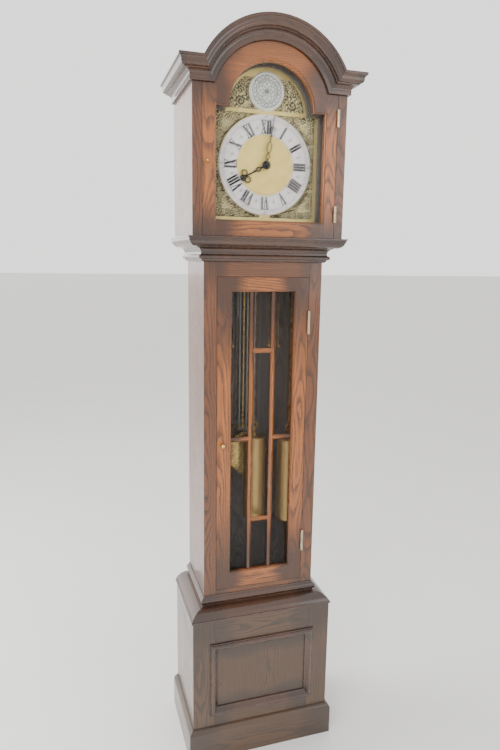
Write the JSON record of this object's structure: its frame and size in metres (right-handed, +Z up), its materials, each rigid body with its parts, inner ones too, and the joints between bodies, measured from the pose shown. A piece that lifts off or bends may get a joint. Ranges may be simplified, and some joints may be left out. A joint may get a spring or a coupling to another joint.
{
  "type": "tall case clock",
  "caption": "Tall case clock with a sliding break-arch hood, hinged glazed doors, brass dial, chain-driven weights, gear train and swinging pendulum.",
  "frame": {"origin": "on the floor, under the middle of the object's bounding box", "axes": "+Z up, the dial faces -Y, +X to the right seen from the front"},
  "size_m": [0.499, 0.2936, 2.0955],
  "materials": {
    "stained_oak": "dark stained oak with a semi-gloss polish",
    "plain_oak": "stained, unpolished",
    "brass": "polished and lacquered",
    "dial_brass": "satin",
    "silvered_brass": "matt silvered",
    "blued_steel": "blued and polished",
    "steel": "plain",
    "glass": "clear"
  },
  "bodies": {
    "case": {"plinth": "stained_oak", "base_front_frame": "stained_oak", "base_panel": "stained_oak", "base_panel_moulding": "stained_oak", "base_sides": "stained_oak", "base_bottom_board": "plain_oak", "base_moulding": "stained_oak", "trunk_sides": "stained_oak", "trunk_front_frame": "stained_oak", "waist_moulding": "stained_oak", "backboard": "plain_oak", "seatboard": "plain_oak", "trunk_hinge_frame_leaves": "brass", "dial_plate": "dial_brass", "chapter_ring": "silvered_brass", "spandrels": "dial_brass", "dial_boss": "silvered_brass", "movement_frame": "brass", "chime_rods": "steel", "going_chain": "brass", "strike_chain": "brass", "chime_chain": "brass"},
    "hood": {"hood_sides": "stained_oak", "hood_front_frame": "stained_oak", "hood_roof": "stained_oak", "arch_moulding": "stained_oak", "cornice": "stained_oak", "dial_mask": "plain_oak", "hood_hinge_frame_leaves": "brass"},
    "hood_door": {"hood_door_frame": "stained_oak", "hood_door_glass": "glass", "hood_hinge_door_leaves": "brass"},
    "hood_catch": {"hood_door_catch": "brass"},
    "trunk_door": {"trunk_door_frame": "stained_oak", "trunk_door_glass": "glass", "trunk_hinge_door_leaves": "brass"},
    "trunk_catch": {"trunk_door_catch": "brass"},
    "minute_arbor": {"centre_arbor": "brass", "minute_hand": "blued_steel"},
    "hour_pipe": {"hour_wheel": "brass", "hour_hand": "blued_steel"},
    "minute_work": {"minute_wheel": "brass"},
    "great_wheel": {"going_great_wheel": "brass"},
    "third": {"third_wheel": "brass"},
    "escape": {"escape_wheel": "brass"},
    "anchor": {"pallet_anchor": "steel"},
    "pendulum": {"pendulum_rod": "steel", "pendulum_bob": "brass"},
    "going_sprocket": {"going_chain_wheel": "brass"},
    "strike_sprocket": {"strike_great_wheel": "brass"},
    "chime_sprocket": {"chime_great_wheel": "brass"},
    "weight_going": {"going_weight": "brass"},
    "weight_strike": {"strike_weight": "brass"},
    "weight_chime": {"chime_weight": "brass"},
    "ring_going": {"going_chain_ring": "brass"},
    "ring_strike": {"strike_chain_ring": "brass"},
    "ring_chime": {"chime_chain_ring": "brass"},
    "hammer_strike": {"strike_hammer": "steel"},
    "hammers_chime": {"chime_hammers": "steel"}
  },
  "joints": [
    {"name": "hood_slide", "type": "slide", "parent": "case", "child": "hood", "axis": [0, -1, 0], "range_m": [0, 0.22]},
    {"name": "hood_door_hinge", "type": "hinge", "parent": "hood", "child": "hood_door", "pos_m": [0.1851, -0.11255, 1.746], "axis": [0, 0, 1], "range_deg": [0, 110]},
    {"name": "hood_catch_turn", "type": "hinge", "parent": "hood_door", "child": "hood_catch", "pos_m": [-0.172, -0.10825, 1.746], "axis": [0, 1, 0], "range_deg": [-90, 0]},
    {"name": "trunk_door_hinge", "type": "hinge", "parent": "case", "child": "trunk_door", "pos_m": [0.1351, -0.07255, 0.99], "axis": [0, 0, 1], "range_deg": [0, 110]},
    {"name": "trunk_catch_turn", "type": "hinge", "parent": "trunk_door", "child": "trunk_catch", "pos_m": [-0.1175, -0.06825, 0.977], "axis": [0, 1, 0], "range_deg": [-90, 0]},
    {"name": "going_weight_run", "type": "slide", "parent": "case", "child": "weight_going", "axis": [0, 0, 1], "range_m": [-0.35, 0.55], "deforming": ["going_chain"]},
    {"name": "going_chain_wheel_spin", "type": "hinge", "parent": "case", "child": "going_sprocket", "pos_m": [0.0205, 0.002, 1.71492], "axis": [0, 1, 0], "continuous": true},
    {"name": "going_ring_run", "type": "slide", "parent": "case", "child": "ring_going", "axis": [0, 0, 1], "range_m": [-0.55, 0.35]},
    {"name": "strike_weight_run", "type": "slide", "parent": "case", "child": "weight_strike", "axis": [0, 0, 1], "range_m": [-0.35, 0.55], "deforming": ["strike_chain"]},
    {"name": "strike_chain_wheel_spin", "type": "hinge", "parent": "case", "child": "strike_sprocket", "pos_m": [-0.0905, 0.002, 1.71492], "axis": [0, 1, 0], "continuous": true},
    {"name": "strike_ring_run", "type": "slide", "parent": "case", "child": "ring_strike", "axis": [0, 0, 1], "range_m": [-0.55, 0.35]},
    {"name": "chime_weight_run", "type": "slide", "parent": "case", "child": "weight_chime", "axis": [0, 0, 1], "range_m": [-0.35, 0.55], "deforming": ["chime_chain"]},
    {"name": "chime_chain_wheel_spin", "type": "hinge", "parent": "case", "child": "chime_sprocket", "pos_m": [0.0905, 0.002, 1.71492], "axis": [0, 1, 0], "continuous": true},
    {"name": "chime_ring_run", "type": "slide", "parent": "case", "child": "ring_chime", "axis": [0, 0, 1], "range_m": [-0.55, 0.35]},
    {"name": "centre_spin", "type": "hinge", "parent": "case", "child": "minute_arbor", "pos_m": [0, 0, 1.7502], "axis": [0, 1, 0], "continuous": true},
    {"name": "great_wheel_spin", "type": "hinge", "parent": "case", "child": "great_wheel", "pos_m": [0.0205, 0.018, 1.71492], "axis": [0, 1, 0], "continuous": true},
    {"name": "third_wheel_spin", "type": "hinge", "parent": "case", "child": "third", "pos_m": [-0.00454, 0.026, 1.77864], "axis": [0, 1, 0], "continuous": true},
    {"name": "escape_wheel_spin", "type": "hinge", "parent": "case", "child": "escape", "pos_m": [0, 0.008, 1.80272], "axis": [0, 1, 0], "continuous": true},
    {"name": "minute_wheel_spin", "type": "hinge", "parent": "case", "child": "minute_work", "pos_m": [-0.02537, -0.036, 1.74097], "axis": [0, 1, 0], "continuous": true},
    {"name": "hour_spin", "type": "hinge", "parent": "case", "child": "hour_pipe", "pos_m": [0, -0.06, 1.7502], "axis": [0, 1, 0], "continuous": true},
    {"name": "pendulum_swing", "type": "hinge", "parent": "case", "child": "pendulum", "pos_m": [0, 0.08675, 1.831], "axis": [0, 1, 0], "range_deg": [-2.5, 2.5]},
    {"name": "anchor_rock", "type": "hinge", "parent": "case", "child": "anchor", "pos_m": [0, 0.008, 1.831], "axis": [0, 1, 0], "range_deg": [-2.5, 2.5]},
    {"name": "strike_hammer_swing", "type": "hinge", "parent": "case", "child": "hammer_strike", "pos_m": [0, 0.10075, 1.712], "axis": [1, 0, 0], "range_deg": [-15, 0], "stiffness_Nm_per_rad": 0.02, "springref_deg": 11.46},
    {"name": "chime_hammers_swing", "type": "hinge", "parent": "case", "child": "hammers_chime", "pos_m": [0, 0.10075, 1.712], "axis": [1, 0, 0], "range_deg": [-15, 0], "stiffness_Nm_per_rad": 0.08, "springref_deg": 11.46}
  ],
  "couplings": [
    {"joint": "going_chain_wheel_spin", "follows": "going_weight_run", "rad_per_m": 48.78},
    {"joint": "going_ring_run", "follows": "going_weight_run", "ratio": -1},
    {"joint": "strike_chain_wheel_spin", "follows": "strike_weight_run", "rad_per_m": 48.78},
    {"joint": "strike_ring_run", "follows": "strike_weight_run", "ratio": -1},
    {"joint": "chime_chain_wheel_spin", "follows": "chime_weight_run", "rad_per_m": -48.78},
    {"joint": "chime_ring_run", "follows": "chime_weight_run", "ratio": -1},
    {"joint": "great_wheel_spin", "follows": "centre_spin", "ratio": -0.0625},
    {"joint": "third_wheel_spin", "follows": "centre_spin", "ratio": -8},
    {"joint": "escape_wheel_spin", "follows": "centre_spin", "ratio": 62},
    {"joint": "minute_wheel_spin", "follows": "centre_spin", "ratio": -1},
    {"joint": "hour_spin", "follows": "centre_spin", "ratio": 0.083333},
    {"joint": "anchor_rock", "follows": "pendulum_swing", "ratio": 1}
  ]
}
